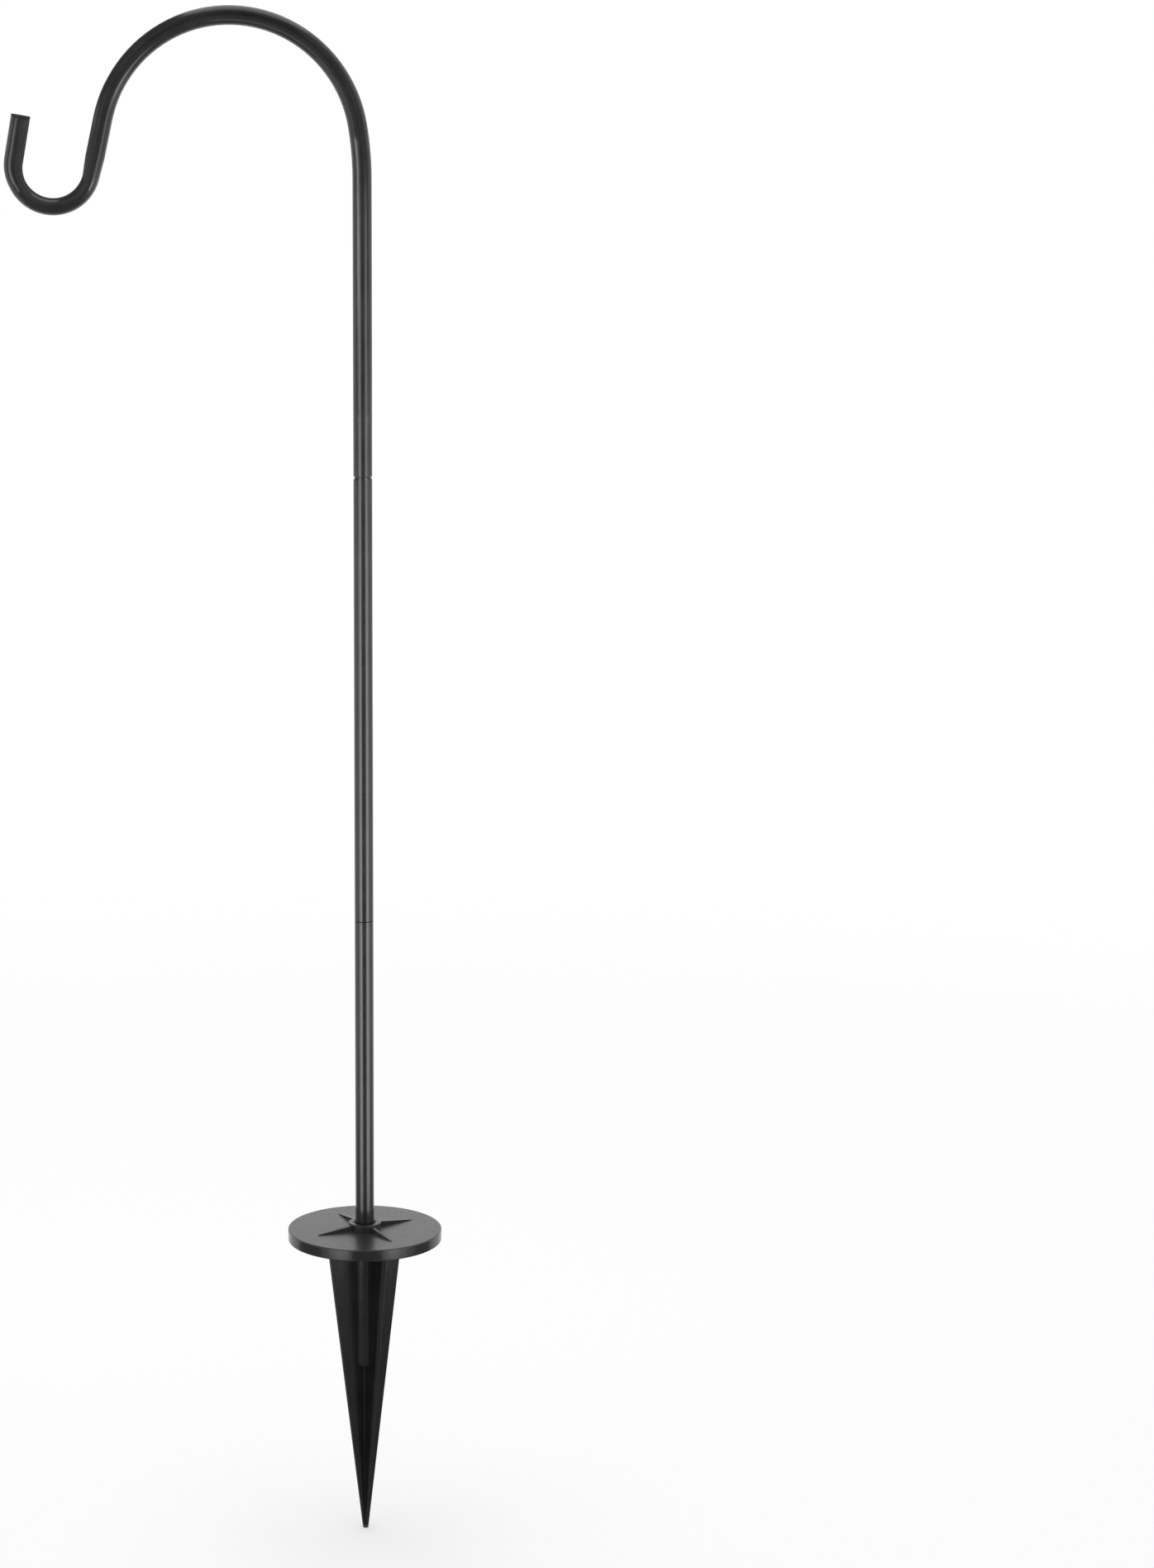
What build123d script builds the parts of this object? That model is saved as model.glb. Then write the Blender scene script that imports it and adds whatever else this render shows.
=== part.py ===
# Garden hanging hook: a bent steel tube on a three-part pole, pushed into a moulded ground stake.
# Millimetres. +Z runs up the pole, and the hook reaches out towards -X.
# The origin is on the pole's axis at ground level, where the stake's disc meets the soil.

import os

from build123d import *

os.makedirs("parts", exist_ok=True)

# Pole tube
tube_diameter = 12.0
tube_wall = 1.2
lower_tube_length = 293.7
middle_tube_length = 284.7
hook_leg_length = 184.1
tube_end_break = 0.15

# Shoulder at the middle tube's top end, turned in below the hook tube
shoulder_depth = 0.8
shoulder_height = 1.9

# Hook, along the tube's centre line from the top of its straight leg
lead_bend_radius = 200.0
lead_bend_angle = 9.5
crown_radius = 80.0
crown_angle = 158.1
neck_length = 35.4
cradle_radius = 24.4
cradle_angle = 177.8
tip_length = 26.3
cradle_flattening = 0.65
cradle_extra_width = 0.35
squeeze_length = 11.0
release_share = 0.2

# Plug in the hook's open end
plug_flange_thickness = 1.4
plug_flange_overhang = 0.1
plug_depth = 9.0
plug_wall = 1.3
plug_edge_radius = 0.4
plug_seam_break = 0.3
plug_lead_in = 0.8

# Spigots that join the tubes, each with a thin collar between the tube ends
spigot_depth = 30.0
spigot_wall = 1.2
spigot_lead_in = 0.8
spigot_collar_thickness = 0.4
spigot_collar_diameter = 10.2

# Ground stake: disc
disc_diameter = 99.6
disc_thickness = 7.4
disc_edge_radius = 0.6
disc_plate = 2.6
disc_rim_width = 4.0
disc_core_radius = 1.0

# Ground stake: collar and gussets on top of the disc
collar_diameter = 21.0
collar_height = 4.1
collar_edge_radius = 0.5
mouth_diameter = 15.0
mouth_depth = 2.4
gusset_reach = 34.5
gusset_height = 3.2
gusset_thickness = 2.8
gusset_tip_height = 0.35
gusset_tip_thickness = 0.9

# Ground stake: socket and fins below the disc
socket_depth = 82.0
socket_diameter = 15.0
socket_floor = 3.0
socket_end_radius = 2.0
fin_count = 4
fin_angle = 30.0
fin_root_radius = 27.8
fin_root_thickness = 3.6
fin_tip_depth = 197.9
fin_tip_radius = 1.6
fin_tip_thickness = 1.9
fin_root_edge_radius = 0.5
fin_tip_edge_radius = 0.25
fin_root_corner_radius = 1.2
fin_tip_corner_radius = 0.3

# Fits and cutting allowance
running_clearance = 0.05
plug_clearance = 0.02
overrun = 1.0

tube_radius = tube_diameter / 2
bore_radius = tube_radius - tube_wall
lower_tube_bottom = -socket_depth
lower_joint_height = lower_tube_bottom + lower_tube_length
middle_tube_bottom = lower_joint_height + spigot_collar_thickness
upper_joint_height = middle_tube_bottom + middle_tube_length
hook_tube_bottom = upper_joint_height + spigot_collar_thickness


def export_piece(shape, name):
    shape.label = name
    export_step(shape, f"parts/{name}.step")


# Ground stake: one moulding of disc, collar, gussets, socket and four fins
fin_top = disc_thickness - disc_plate
gusset_foot = disc_thickness - disc_plate / 2
gusset_start = (mouth_diameter + collar_diameter) / 4

with BuildPart() as ground_stake:
    # Disc with rounded edges, cored out underneath to an even wall
    with BuildSketch():
        Circle(disc_diameter / 2)
    extrude(amount=disc_thickness)
    fillet(ground_stake.edges(), radius=disc_edge_radius)
    with BuildSketch():
        Circle(disc_diameter / 2 - disc_rim_width)
    extrude(amount=fin_top, mode=Mode.SUBTRACT)
    core_edge = ground_stake.edges().filter_by(GeomType.CIRCLE).filter_by_position(Axis.Z, fin_top, fin_top)
    fillet(core_edge, radius=disc_core_radius)

    # Socket column under the disc, with a rounded lower end
    with BuildSketch(Plane.XY.offset(fin_top)):
        Circle(socket_diameter / 2)
    extrude(amount=-(fin_top + socket_depth + socket_floor))
    column_end = ground_stake.edges().sort_by(Axis.Z)[0]
    fillet(column_end, radius=socket_end_radius)

    # Fins: a cross that narrows to a blunt point
    fin_ends = (
        (fin_top, fin_root_radius, fin_root_thickness, fin_root_edge_radius, fin_root_corner_radius),
        (-fin_tip_depth, fin_tip_radius, fin_tip_thickness, fin_tip_edge_radius, fin_tip_corner_radius),
    )
    for height, radius, thickness, edge_radius, corner_radius in fin_ends:
        with BuildSketch(Plane.XY.offset(height)) as cross:
            with PolarLocations(0, fin_count // 2, start_angle=fin_angle, angular_range=180):
                Rectangle(2 * radius, thickness)
            corners = cross.vertices().sort_by_distance((0, 0, height))
            fillet(corners[fin_count:], radius=edge_radius)
            corners = cross.vertices().sort_by_distance((0, 0, height))
            fillet(corners[:fin_count], radius=corner_radius)
    loft(ruled=True)

    # Collar round the pole
    with BuildSketch(Plane.XY.offset(disc_thickness)):
        Circle(collar_diameter / 2)
    extrude(amount=collar_height)
    collar_top = disc_thickness + collar_height
    rim = ground_stake.edges().filter_by_position(Axis.Z, collar_top, collar_top)
    fillet(rim, radius=collar_edge_radius)

    # Gussets from the collar out over the disc, in line with the fins
    for number in range(fin_count):
        direction = Vector(1, 0, 0).rotate(Axis.Z, fin_angle + number * 360 / fin_count)
        gusset_ends = (
            (gusset_start, gusset_thickness, gusset_height),
            (gusset_reach, gusset_tip_thickness, gusset_tip_height),
        )
        for reach, thickness, height in gusset_ends:
            foot = direction * reach + Vector(0, 0, gusset_foot)
            with BuildSketch(Plane(foot, x_dir=Vector(0, 0, 1), z_dir=direction)):
                Rectangle(
                    height + disc_thickness - gusset_foot,
                    thickness,
                    align=(Align.MIN, Align.CENTER),
                )
        loft(ruled=True)

    # Bore for the pole, with a flared mouth
    with BuildSketch(Plane.XZ):
        with BuildLine():
            socket_radius = tube_radius + running_clearance
            mouth_top = collar_top + overrun
            Polyline(
                (0, -socket_depth),
                (socket_radius, -socket_depth),
                (socket_radius, collar_top - mouth_depth),
                (mouth_diameter / 2, collar_top),
                (mouth_diameter / 2, mouth_top),
                (0, mouth_top),
                close=True,
            )
        make_face()
    revolve(axis=Axis.Z, mode=Mode.SUBTRACT)

export_piece(ground_stake.part, "ground_stake")


# Lower and middle tubes: straight, with broken edges or a turned-in end
def straight_tube(bottom, length, top_end_depth, top_end_height):
    with BuildPart() as tube:
        with BuildSketch(Plane.XY.offset(bottom)):
            Circle(tube_radius)
            Circle(bore_radius, mode=Mode.SUBTRACT)
        extrude(amount=length)
        low_rim = tube.edges().filter_by(GeomType.CIRCLE).group_by(Axis.Z)[0].sort_by(SortBy.RADIUS)[-1]
        chamfer(low_rim, length=tube_end_break)
        top_rim = tube.edges().filter_by(GeomType.CIRCLE).group_by(Axis.Z)[-1].sort_by(SortBy.RADIUS)[-1]
        top_face = tube.faces().sort_by(Axis.Z)[-1]
        chamfer(top_rim, length=top_end_depth, length2=top_end_height, reference=top_face)
    return tube.part


lower_tube = straight_tube(lower_tube_bottom, lower_tube_length, tube_end_break, tube_end_break)
export_piece(lower_tube, "lower_tube")

middle_tube = straight_tube(middle_tube_bottom, middle_tube_length, shoulder_depth, shoulder_height)
export_piece(middle_tube, "middle_tube")


# Spigots: a short inner tube with a thin collar halfway up
def spigot(collar_bottom):
    spigot_radius = bore_radius - running_clearance
    collar_centre = collar_bottom + spigot_collar_thickness / 2
    half_length = spigot_depth + spigot_collar_thickness / 2
    with BuildPart() as sleeve:
        with BuildSketch(Plane.XY.offset(collar_centre)):
            Circle(spigot_radius)
            Circle(spigot_radius - spigot_wall, mode=Mode.SUBTRACT)
        extrude(amount=half_length, both=True)
        for end in (0, -1):
            rim = sleeve.edges().filter_by(GeomType.CIRCLE).group_by(Axis.Z)[end].sort_by(SortBy.RADIUS)[-1]
            chamfer(rim, length=spigot_lead_in)
        with BuildSketch(Plane.XY.offset(collar_bottom)):
            Circle(spigot_collar_diameter / 2)
            Circle(spigot_radius - spigot_wall / 2, mode=Mode.SUBTRACT)
        extrude(amount=spigot_collar_thickness)
    return sleeve.part


export_piece(spigot(lower_joint_height), "lower_spigot")
export_piece(spigot(upper_joint_height), "upper_spigot")

# Hook centre line: leg, easing bend, crown and neck, then the part that is squeezed flat, then the tip
with BuildLine(Plane.XZ) as hook_upper_line:
    leg = Line((0, hook_tube_bottom), (0, hook_tube_bottom + hook_leg_length))
    lead_bend = JernArc(leg @ 1, leg % 1, lead_bend_radius, lead_bend_angle)
    crown = JernArc(lead_bend @ 1, lead_bend % 1, crown_radius, crown_angle)
    neck = PolarLine(crown @ 1, neck_length - squeeze_length, direction=crown % 1)

with BuildLine(Plane.XZ):
    squeeze = PolarLine(neck @ 1, squeeze_length, direction=neck % 1)

with BuildLine(Plane.XZ) as cradle_line:
    cradle = JernArc(squeeze @ 1, squeeze % 1, cradle_radius, -cradle_angle * (1 - release_share))

with BuildLine(Plane.XZ) as release_line:
    release = JernArc(cradle @ 1, cradle % 1, cradle_radius, -cradle_angle * release_share)

with BuildLine(Plane.XZ):
    tip = PolarLine(release @ 1, tip_length, direction=release % 1)

sideways = Vector(0, 1, 0)


def section_plane(line, share):
    return Plane(line @ share, x_dir=sideways, z_dir=line % share)


def tube_run(radius, depth_past_ends):
    """Solid rod of the hook's shape: round all along, but squeezed flat in the cradle."""
    flat_radii = (radius + cradle_extra_width, radius - cradle_flattening)
    with BuildPart() as rod:
        with BuildSketch(section_plane(leg, 0)):
            Circle(radius)
        sweep(path=hook_upper_line.line)
        with BuildSketch(section_plane(squeeze, 0)):
            Circle(radius)
        with BuildSketch(section_plane(squeeze, 1)):
            Ellipse(*flat_radii)
        loft()
        with BuildSketch(section_plane(cradle, 0)):
            Ellipse(*flat_radii)
        sweep(path=cradle_line.line)
        with BuildSketch(section_plane(release, 0)):
            Ellipse(*flat_radii)
        with BuildSketch(section_plane(release, 1)):
            Circle(radius)
        sweep(path=release_line.line, multisection=True)
        with BuildSketch(section_plane(tip, 0)):
            Circle(radius)
        extrude(amount=tip_length + depth_past_ends)
        if depth_past_ends:
            with BuildSketch(section_plane(leg, 0)):
                Circle(radius)
            extrude(amount=-depth_past_ends)
    return rod.part


with BuildPart() as hook_tube:
    add(tube_run(tube_radius, 0))
    add(tube_run(bore_radius, overrun), mode=Mode.SUBTRACT)
    low_rim = hook_tube.edges().filter_by(GeomType.CIRCLE).group_by(Axis.Z)[0].sort_by(SortBy.RADIUS)[-1]
    chamfer(low_rim, length=tube_end_break)
    tip_rims = hook_tube.edges().filter_by(GeomType.CIRCLE).sort_by_distance(tip @ 1)[:2]
    chamfer(tip_rims.sort_by(SortBy.RADIUS)[-1], length=plug_seam_break)

export_piece(hook_tube.part, "hook_tube")

# Plug: a flange over the tube's end and a hollow body inside it
tip_plane = Plane(tip @ 1, x_dir=sideways, z_dir=tip % 1)

with BuildPart() as tip_plug:
    with BuildSketch(tip_plane):
        Circle(tube_radius + plug_flange_overhang)
    extrude(amount=plug_flange_thickness)
    flange_rims = tip_plug.edges().filter_by(GeomType.CIRCLE).sort_by(Axis(tip_plane.origin, tip_plane.z_dir))
    fillet(flange_rims[-1], radius=plug_edge_radius)
    chamfer(flange_rims[0], length=plug_seam_break)
    with BuildSketch(tip_plane):
        Circle(bore_radius - plug_clearance)
    extrude(amount=-plug_depth)
    inner_rim = tip_plug.edges().filter_by(GeomType.CIRCLE).sort_by(Axis(tip_plane.origin, tip_plane.z_dir))[0]
    chamfer(inner_rim, length=plug_lead_in)
    with BuildSketch(tip_plane):
        Circle(bore_radius - plug_clearance - plug_wall)
    extrude(amount=-plug_depth, mode=Mode.SUBTRACT)

export_piece(tip_plug.part, "tip_plug")
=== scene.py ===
from math import cos, pi, radians, sin, tan

import bpy
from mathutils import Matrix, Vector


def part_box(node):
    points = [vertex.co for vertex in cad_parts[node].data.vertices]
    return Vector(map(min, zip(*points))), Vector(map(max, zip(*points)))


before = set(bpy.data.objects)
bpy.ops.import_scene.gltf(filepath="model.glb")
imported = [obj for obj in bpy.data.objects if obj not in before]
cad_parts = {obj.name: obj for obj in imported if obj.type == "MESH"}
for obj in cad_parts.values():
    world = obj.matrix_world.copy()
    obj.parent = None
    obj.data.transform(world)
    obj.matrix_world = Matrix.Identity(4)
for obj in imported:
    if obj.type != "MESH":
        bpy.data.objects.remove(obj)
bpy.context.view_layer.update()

# Heights that the studio is built from: the floor is at the spike's tip
floor_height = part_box("ground_stake")[0].z
crown_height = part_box("hook_tube")[1].z
joint_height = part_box("middle_tube")[1].z

# Camera, as the photograph places it
image_height_px = 1896
image_width_px = 1396
focal_px = 4800
axis_column_px = 508
camera_distance = 2.480
camera_height = 0.7746
camera_side = 0.0358
camera_pitch = radians(10.814)
sensor_mm = 36.0

# Finishes: linear colours in pairs, noise scales per metre, roughness in ranges, bump depths in
# metres
bump_depth = 0.00002

coat_colours = ((0.012, 0.012, 0.013), (0.020, 0.020, 0.021))
coat_patch_scale = 60
coat_sheen_scale = 240
coat_roughness = (0.15, 0.21)
coat_peel_scale = 900
coat_peel_strength = 0.08

stake_colours = ((0.006, 0.006, 0.006), (0.012, 0.012, 0.012))
stake_patch_scale = 45
stake_patch_roughness = 0.6
stake_sheen_scale = 300
stake_roughness = (0.16, 0.22)
stake_grain_scale = 1200
stake_grain_strength = 0.08
stake_ring_scale = 260
stake_ring_distortion = 1.5
stake_ring_depth = 0.00001
stake_ring_strength = 0.25

# The disc's top is rougher and painted lighter, partly dust and partly painted light that falls on
# it from above: its colours, the roughness it adds, and the heights over which it starts
disc_top_dust_and_painted_light_colours = ((0.015, 0.015, 0.015), (0.023, 0.023, 0.023))
disc_top_roughening = 0.12
disc_top_start = (0.0066, 0.0074)

plug_colours = ((0.008, 0.008, 0.008), (0.014, 0.014, 0.014))
plug_patch_scale = 200
plug_sheen_scale = 700
plug_roughness = (0.42, 0.52)
plug_grain_scale = 1500
plug_grain_strength = 0.5

spigot_colours = ((0.03, 0.03, 0.031), (0.07, 0.068, 0.066))
spigot_mark_scale = 2200
spigot_mark_stretch = (1, 1, 0.04)
spigot_mark_strength = 0.5
spigot_roughness = (0.34, 0.5)
spigot_metallic = 0.6

# White surroundings and floor: the floor fades into them between two distances from the pole
white = (1, 1, 1, 1)
world_fill = 0.85
floor_size = (60.0, 60.0)
floor_colour = (0.8, 0.8, 0.8, 1)
floor_lift = 0.22
floor_fade = (0.6, 2.0)

# Side lights face the pole. Turns are in degrees round the pole from the camera's side, negative
# to the left
light_distance = 0.62
upper_left_distance = 0.61
light_half_spread = radians(32)
low_tilt = radians(18)
high_tilt = radians(3)
left_turns = (-21.0, -48.0)
right_turns = (28.0, 60.0)
left_wing_turns = (-48.0, -64.0)
right_wing_turns = (60.0, 76.0)
upper_left_turns = (-39.0, -66.0)
low_top = 0.42
high_top = crown_height - 0.145
right_split = crown_height - 0.27
low_tier = (floor_height + 0.052, low_top)
high_left_tier = (low_top, high_top)
high_right_tier = (low_top, right_split)
upper_right_tier = (right_split, high_top)
upper_left_tier = (crown_height - 0.22, crown_height - 0.02)
low_radiance = 5.5
high_left_radiance = 3.6
high_right_radiance = 3.4
upper_right_radiance = 2.7
upper_left_radiance = 4.0
low_wing_radiance = 1.7
high_wing_radiance = 1.25

top_light_size = (1.2, 1.2)
top_light_place = (-0.1, 0.35, crown_height + 0.8)
top_light_radiance = 0.9

# Dark card between the left and right lights, with a darker one before its upper part for the crown
card_distance = 0.60
card_turns = (-20.0, 27.0)
card_height = 2.0
card_radiance = 0.28
crown_card_size = (0.42, 0.6)
crown_card_gap = 0.01
crown_card_place = (-0.05, crown_card_gap - card_distance, 1.0)
crown_card_radiance = 0.08

# Dark card before the hook, and dim ones on both sides, behind the side lights and above them
hook_card_size = (0.40, 1.1)
hook_card_place = (-0.41, -0.61, 1.20)
hook_card_radiance = 0.2
upper_card_distance = 0.70
upper_card_turns = (28.0, 76.0)
upper_card_height = 1.6
upper_card_middle = 1.2
upper_card_radiance = 0.32

# Dark cloth on the floor before the spike, and a dark flag up on the left
cloth_size = (2.0, 1.4)
cloth_lift = 0.002
cloth_place = (0.0, -0.45, floor_height + cloth_lift)
cloth_radiance = 0.28
flag_size = (0.9, 1.4)
flag_place = (-0.75, 0.35, crown_height + 0.5)
flag_tilt = radians(-45)
flag_radiance = 0.2

# Bright card low at the back: its radiance falls from the first value to the second between two
# heights, measured from its middle
back_card_size = (1.6, 0.7)
back_card_place = (0.35, 1.3, 0.45)
back_card_radiances = (1.52, 0.80)
back_card_fade = (-0.08, -0.01)

# Small flags close to the hook: two ring sectors inside the crown and one under the cradle, with
# angles in degrees, and panels before and behind the hook's mouth
flag_gap = 0.022
sector_steps = 24
crown_centre = (-0.0816, 0.7011)
crown_flag_radii = (0.028, 0.061)
crown_shade_radii = (0.061, 0.079)
crown_flag_angles = (2.0, 100.0)
crown_flag_radiance = 1.0
crown_shade_radiance = 0.3
cradle_centre = (-0.1911, 0.6889)
cradle_flag_radii = (0.024, 0.060)
cradle_flag_angles = (215.0, 325.0)
cradle_flag_radiance = 0.2
mouth_flag_size = (0.034, 0.056)
mouth_flag_place = (-0.190, -flag_gap, 0.700)
mouth_flag_radiance = 0.5
back_flag_size = (0.056, 0.07)
back_flag_place = (-0.190, flag_gap, 0.711)
back_flag_radiance = 0.25

# Small cards above the upper joint, bright below to light its shoulder, with plain backs above.
# Their tilt puts them edge-on to what the tubes reflect
joint_card_turns = ((-21.0, -60.0), (28.0, 72.0))
joint_card_distance = 0.055
joint_card_rise = radians(39)
joint_card_tilt = radians(6.4)
joint_card_depth = 0.04
joint_card_radiance = 4.0
joint_back_gap = 0.0005
joint_back_radiance = 0.24

# Ranges that node values are spread between: most of a noise's values lie in the first
noise_range = (0.3, 0.7)
unit_range = (0, 1)

# Sockets of a colour Mix node, whose names repeat
mix_factor, mix_first, mix_second = 0, 6, 7
mix_result = 2

quarter_turn = pi / 2
level = (0, 0, 0)
upright = (quarter_turn, 0, 0)


def node(tree, kind, inputs=None, **settings):
    made = tree.nodes.new(kind)
    for key, value in settings.items():
        setattr(made, key, value)
    for key, value in (inputs or {}).items():
        made.inputs[key].default_value = value
    return made


def noise(tree, coordinates, scale, detail, roughness=0.5):
    inputs = {"Scale": scale, "Detail": detail, "Roughness": roughness}
    made = node(tree, "ShaderNodeTexNoise", inputs)
    tree.links.new(coordinates, made.inputs["Vector"])
    return made.outputs["Fac"]


def spread(tree, value, to_range=unit_range, from_range=noise_range):
    made = node(
        tree,
        "ShaderNodeMapRange",
        {
            "From Min": from_range[0],
            "From Max": from_range[1],
            "To Min": to_range[0],
            "To Max": to_range[1],
        },
    )
    tree.links.new(value, made.inputs["Value"])
    return made.outputs["Result"]


def bump(tree, height, depth, strength, below=None):
    made = node(tree, "ShaderNodeBump", {"Strength": strength, "Distance": depth})
    tree.links.new(height, made.inputs["Height"])
    if below is not None:
        tree.links.new(below, made.inputs["Normal"])
    return made.outputs["Normal"]


def patchy_colour(tree, patches, colours):
    """Colour that drifts between two by a noise."""
    made = node(tree, "ShaderNodeMix", data_type="RGBA")
    for socket, colour in zip((mix_first, mix_second), colours):
        made.inputs[socket].default_value = (*colour, 1)
    tree.links.new(spread(tree, patches), made.inputs[mix_factor])
    return made.outputs[mix_result]


def new_finish(name):
    """Material with its node tree, its shader and the coordinates of the object."""
    material = bpy.data.materials.new(name)
    material.use_nodes = True
    tree = material.node_tree
    place = node(tree, "ShaderNodeTexCoord").outputs["Object"]
    return material, tree, tree.nodes["Principled BSDF"], place


def link_finish(tree, shader, colour, roughness, normal):
    tree.links.new(colour, shader.inputs["Base Color"])
    tree.links.new(roughness, shader.inputs["Roughness"])
    tree.links.new(normal, shader.inputs["Normal"])


def powder_coat():
    """Satin black powder coat on steel tube: fine orange peel, slightly uneven sheen."""
    material, tree, shader, place = new_finish("powder_coat")
    patches = noise(tree, place, coat_patch_scale, detail=4)
    sheen = noise(tree, place, coat_sheen_scale, detail=2)
    peel = noise(tree, place, coat_peel_scale, detail=2)
    link_finish(
        tree,
        shader,
        patchy_colour(tree, patches, coat_colours),
        spread(tree, sheen, coat_roughness),
        bump(tree, peel, bump_depth, coat_peel_strength),
    )
    return material


def stake_plastic():
    """Moulded black plastic: turning rings from the mould, fine grain, a rougher top on the disc
    painted lighter, partly dust and partly painted light.
    """
    material, tree, shader, place = new_finish("stake_plastic")
    heights = node(tree, "ShaderNodeSeparateXYZ")
    tree.links.new(place, heights.inputs[0])
    on_top = spread(tree, heights.outputs["Z"], from_range=disc_top_start)

    patches = noise(tree, place, stake_patch_scale, detail=5, roughness=stake_patch_roughness)
    # The disc's top is painted lighter: partly dust, partly painted light falling on it from above
    colour = node(tree, "ShaderNodeMix", data_type="RGBA")
    tree.links.new(on_top, colour.inputs[mix_factor])
    tree.links.new(patchy_colour(tree, patches, stake_colours), colour.inputs[mix_first])
    tree.links.new(patchy_colour(tree, patches, disc_top_dust_and_painted_light_colours), colour.inputs[mix_second])

    sheen = noise(tree, place, stake_sheen_scale, detail=3)
    roughness = node(tree, "ShaderNodeMath", {1: disc_top_roughening}, operation="MULTIPLY_ADD")
    tree.links.new(on_top, roughness.inputs[0])
    tree.links.new(spread(tree, sheen, stake_roughness), roughness.inputs[2])

    rings = node(
        tree,
        "ShaderNodeTexWave",
        {
            "Scale": stake_ring_scale,
            "Distortion": stake_ring_distortion,
            "Detail": 2,
            "Detail Scale": 2,
        },
        wave_type="RINGS",
        rings_direction="Z",
    )
    tree.links.new(place, rings.inputs["Vector"])
    fine_noise = noise(tree, place, stake_grain_scale, detail=3)
    grain = bump(tree, fine_noise, bump_depth, stake_grain_strength)
    turned = bump(tree, rings.outputs["Fac"], stake_ring_depth, stake_ring_strength, below=grain)
    link_finish(tree, shader, colour.outputs[mix_result], roughness.outputs[0], turned)
    return material


def plug_plastic():
    """Softer black plastic of the tip plug."""
    material, tree, shader, place = new_finish("plug_plastic")
    patches = noise(tree, place, plug_patch_scale, detail=3)
    sheen = noise(tree, place, plug_sheen_scale, detail=2)
    grain = noise(tree, place, plug_grain_scale, detail=2)
    link_finish(
        tree,
        shader,
        patchy_colour(tree, patches, plug_colours),
        spread(tree, sheen, plug_roughness),
        bump(tree, grain, bump_depth, plug_grain_strength),
    )
    return material


def spigot_steel():
    """Black oxide on drawn steel: drawing marks, a faint metal glint through the dark skin."""
    material, tree, shader, place = new_finish("spigot_steel")
    stretched = node(tree, "ShaderNodeMapping", {"Scale": spigot_mark_stretch})
    tree.links.new(place, stretched.inputs["Vector"])
    marks = noise(tree, stretched.outputs["Vector"], spigot_mark_scale, detail=3)
    shader.inputs["Metallic"].default_value = spigot_metallic
    link_finish(
        tree,
        shader,
        patchy_colour(tree, marks, spigot_colours),
        spread(tree, marks, spigot_roughness),
        bump(tree, marks, bump_depth, spigot_mark_strength),
    )
    return material


finishes = {
    "ground_stake": stake_plastic(),
    "tip_plug": plug_plastic(),
}
finishes.update(dict.fromkeys(("lower_tube", "middle_tube", "hook_tube"), powder_coat()))
finishes.update(dict.fromkeys(("lower_spigot", "upper_spigot"), spigot_steel()))
for name, material in finishes.items():
    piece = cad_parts[name]
    piece.data.materials.clear()
    piece.data.materials.append(material)


def seen_or_reflected(tree):
    """1 for camera, glossy and transmission rays, otherwise 0."""
    path = node(tree, "ShaderNodeLightPath")
    result = path.outputs["Is Camera Ray"]
    for ray in ("Is Glossy Ray", "Is Transmission Ray"):
        either = node(tree, "ShaderNodeMath", operation="MAXIMUM")
        tree.links.new(result, either.inputs[0])
        tree.links.new(path.outputs[ray], either.inputs[1])
        result = either.outputs[0]
    return result


def white_world():
    """White where it is seen or reflected, a little less as light."""
    world = bpy.data.worlds.new("studio")
    world.use_nodes = True
    tree = world.node_tree
    background = tree.nodes["Background"]
    background.inputs["Color"].default_value = white
    strength = spread(tree, seen_or_reflected(tree), (world_fill, 1), unit_range)
    tree.links.new(strength, background.inputs["Strength"])
    return world


def bare_material(name):
    material = bpy.data.materials.new(name)
    material.use_nodes = True
    material.node_tree.nodes.clear()
    return material, material.node_tree


def white_floor():
    """White floor that keeps the object's shadow and fades into the surroundings farther away."""
    material, tree = bare_material("floor")
    distance = node(tree, "ShaderNodeVectorMath", operation="LENGTH")
    tree.links.new(node(tree, "ShaderNodeTexCoord").outputs["Object"], distance.inputs[0])
    seen = seen_or_reflected(tree)

    near = node(tree, "ShaderNodeBsdfDiffuse", {"Color": floor_colour})
    lift = node(tree, "ShaderNodeEmission", {"Color": white})
    tree.links.new(spread(tree, seen, (0, floor_lift), unit_range), lift.inputs["Strength"])
    near_lifted = node(tree, "ShaderNodeAddShader")
    tree.links.new(near.outputs[0], near_lifted.inputs[0])
    tree.links.new(lift.outputs[0], near_lifted.inputs[1])

    far = node(tree, "ShaderNodeEmission", {"Color": white})
    tree.links.new(spread(tree, seen, (world_fill, 1), unit_range), far.inputs["Strength"])

    mixed = node(tree, "ShaderNodeMixShader")
    tree.links.new(spread(tree, distance.outputs["Value"], from_range=floor_fade), mixed.inputs[0])
    tree.links.new(near_lifted.outputs[0], mixed.inputs[1])
    tree.links.new(far.outputs[0], mixed.inputs[2])
    out = node(tree, "ShaderNodeOutputMaterial")
    tree.links.new(mixed.outputs[0], out.inputs["Surface"])
    return material


def stage_mesh(name, points, faces):
    mesh = bpy.data.meshes.new(name)
    mesh.from_pydata(points, [], faces)
    made = bpy.data.objects.new(name, mesh)
    bpy.context.scene.collection.objects.link(made)
    return made


def flat_panel(name, size, place, rotation):
    half_width, half_depth = (side / 2 for side in size)
    corners = [
        (-half_width, -half_depth, 0),
        (half_width, -half_depth, 0),
        (half_width, half_depth, 0),
        (-half_width, half_depth, 0),
    ]
    panel = stage_mesh(name, corners, [(0, 1, 2, 3)])
    panel.location = place
    panel.rotation_euler = rotation
    return panel


def only_reflected(panel, radiance):
    """Make a panel glow in reflections alone, and return its node tree and its emission node."""
    material, tree = bare_material(panel.name)
    glow = node(tree, "ShaderNodeEmission", {"Strength": radiance})
    out = node(tree, "ShaderNodeOutputMaterial")
    tree.links.new(glow.outputs[0], out.inputs["Surface"])
    panel.data.materials.append(material)
    panel.visible_camera = False
    panel.visible_diffuse = False
    panel.visible_shadow = False
    panel.visible_transmission = False
    return tree, glow


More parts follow.
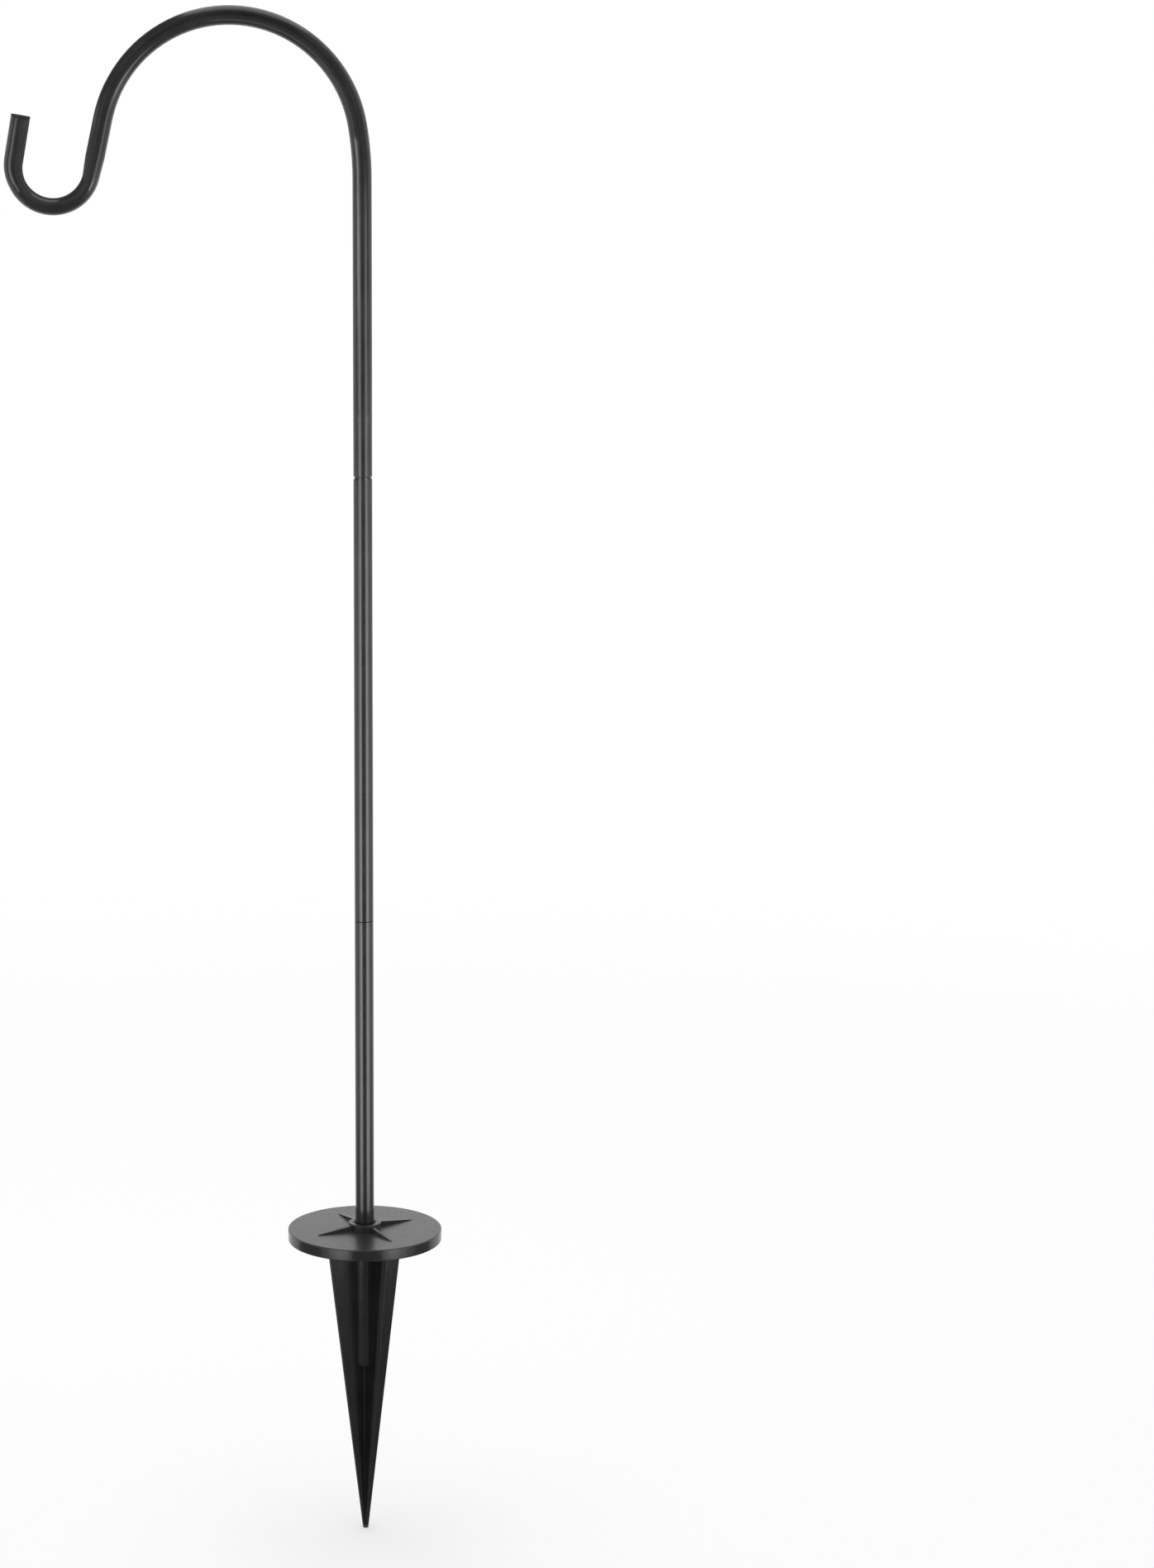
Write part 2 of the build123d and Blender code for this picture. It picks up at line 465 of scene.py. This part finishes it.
def reflected_panel(name, size, place, rotation, radiance):
    only_reflected(flat_panel(name, size, place, rotation), radiance)


def reflected_sector(name, centre, radii, angles, radiance):
    """Ring sector that stands upright just in front of the hook."""
    first, last = angles
    shares = [step / sector_steps for step in range(sector_steps + 1)]
    turns = [radians(first + (last - first) * share) for share in shares]
    points = [
        (centre[0] + radius * cos(turn), -flag_gap, centre[1] + radius * sin(turn))
        for radius in radii
        for turn in turns
    ]
    row = len(turns)
    faces = [(step, step + 1, row + step + 1, row + step) for step in range(sector_steps)]
    only_reflected(stage_mesh(name, points, faces), radiance)


def facing_pole(distance, turns, height):
    """Place, turn and width of what faces the pole and fills the stretch between two turns."""
    turn = radians(sum(turns) / 2)
    place = (distance * sin(turn), -distance * cos(turn), height)
    width = 2 * distance * tan(radians(abs(turns[1] - turns[0])) / 2)
    return place, turn, width


bpy.context.scene.world = white_world()
floor = flat_panel("floor", floor_size, (0, 0, floor_height), level)
floor.data.materials.append(white_floor())

card_left, card_right = (card_distance * tan(radians(turn)) for turn in card_turns)
card_size = (card_right - card_left, card_height)
card_place = ((card_left + card_right) / 2, -card_distance, floor_height + card_height / 2)
reflected_panel("card", card_size, card_place, upright, card_radiance)
reflected_panel("crown_card", crown_card_size, crown_card_place, upright, crown_card_radiance)
reflected_panel("cloth", cloth_size, cloth_place, level, cloth_radiance)
reflected_panel("flag", flag_size, flag_place, (0, flag_tilt, 0), flag_radiance)

back_card = flat_panel("back_card", back_card_size, back_card_place, upright)
back_tree, back_glow = only_reflected(back_card, back_card_radiances[0])
height_on_card = node(back_tree, "ShaderNodeSeparateXYZ")
back_place = node(back_tree, "ShaderNodeTexCoord").outputs["Object"]
back_tree.links.new(back_place, height_on_card.inputs[0])
back_strength = spread(back_tree, height_on_card.outputs["Y"], back_card_radiances, back_card_fade)
back_tree.links.new(back_strength, back_glow.inputs["Strength"])

for side in (-1, 1):
    side_turns = [side * turn for turn in upper_card_turns]
    place, turn, width = facing_pole(upper_card_distance, side_turns, upper_card_middle)
    size = (width, upper_card_height)
    reflected_panel("upper_card", size, place, (quarter_turn, 0, turn), upper_card_radiance)

for name, centre, radii, angles, radiance in (
    ("crown_flag", crown_centre, crown_flag_radii, crown_flag_angles, crown_flag_radiance),
    ("crown_shade", crown_centre, crown_shade_radii, crown_flag_angles, crown_shade_radiance),
    ("cradle_flag", cradle_centre, cradle_flag_radii, cradle_flag_angles, cradle_flag_radiance),
):
    reflected_sector(name, centre, radii, angles, radiance)
reflected_panel("mouth_flag", mouth_flag_size, mouth_flag_place, upright, mouth_flag_radiance)
reflected_panel("back_flag", back_flag_size, back_flag_place, upright, back_flag_radiance)

reach = joint_card_distance * cos(joint_card_rise)
height = joint_height + joint_card_distance * sin(joint_card_rise)
for turns in joint_card_turns:
    for name, radiance, lift in (
        ("joint_card", joint_card_radiance, 0),
        ("joint_card_back", joint_back_radiance, joint_back_gap),
    ):
        place, turn, width = facing_pole(reach, turns, height + lift)
        size = (width, joint_card_depth)
        reflected_panel(name, size, place, (joint_card_tilt, 0, turn), radiance)
reflected_panel("hook_card", hook_card_size, hook_card_place, upright, hook_card_radiance)


def area_light(name, size, radiance):
    width, height = size
    light = bpy.data.lights.new(name, "AREA")
    light.shape = "RECTANGLE"
    light.size = width
    light.size_y = height
    light.energy = radiance * pi * width * height
    lamp = bpy.data.objects.new(name, light)
    bpy.context.scene.collection.objects.link(lamp)
    lamp.visible_camera = False
    return lamp


def side_light(name, turns, tier, tilt, radiance, distance=light_distance):
    """Light with a grid that faces the pole, tilted up, between two turns and two heights."""
    bottom, top = tier
    height = top - bottom
    place, turn, width = facing_pole(distance, turns, bottom + height / 2)
    lamp = area_light(name, (width, height / cos(tilt)), radiance)
    lamp.location = place
    lamp.rotation_euler = (quarter_turn + tilt, 0, turn)
    # A grid narrows the beam at the same power, so the power comes down to keep the radiance
    # in the beam's middle
    lamp.data.spread = 2 * light_half_spread
    lamp.data.energy *= 1 - light_half_spread / tan(light_half_spread)
    return lamp


side_light("low_left", left_turns, low_tier, low_tilt, low_radiance)
side_light("low_right", right_turns, low_tier, low_tilt, low_radiance)
side_light("high_left", left_turns, high_left_tier, high_tilt, high_left_radiance)
side_light("high_right", right_turns, high_right_tier, high_tilt, high_right_radiance)
side_light("upper_right", right_turns, upper_right_tier, high_tilt, upper_right_radiance)

# These show as highlights and leave the matt shades alone
for highlight in (
    side_light("low_wing_left", left_wing_turns, low_tier, low_tilt, low_wing_radiance),
    side_light("low_wing_right", right_wing_turns, low_tier, low_tilt, low_wing_radiance),
    side_light("high_wing_left", left_wing_turns, high_left_tier, high_tilt, high_wing_radiance),
    side_light("high_wing_right", right_wing_turns, high_right_tier, high_tilt, high_wing_radiance),
    side_light(
        "upper_left",
        upper_left_turns,
        upper_left_tier,
        high_tilt,
        upper_left_radiance,
        upper_left_distance,
    ),
):
    highlight.visible_diffuse = False

top_light = area_light("top_light", top_light_size, top_light_radiance)
top_light.location = top_light_place

camera_data = bpy.data.cameras.new("camera")
camera_data.sensor_width = sensor_mm
camera_data.lens = focal_px / image_height_px * sensor_mm
camera_data.shift_x = (image_width_px / 2 - axis_column_px) / image_height_px
camera = bpy.data.objects.new("camera", camera_data)
camera.location = (camera_side, -camera_distance, camera_height)
camera.rotation_euler = (quarter_turn - camera_pitch, 0, 0)
bpy.context.scene.collection.objects.link(camera)
bpy.context.scene.camera = camera
bpy.context.scene.view_settings.view_transform = "Standard"
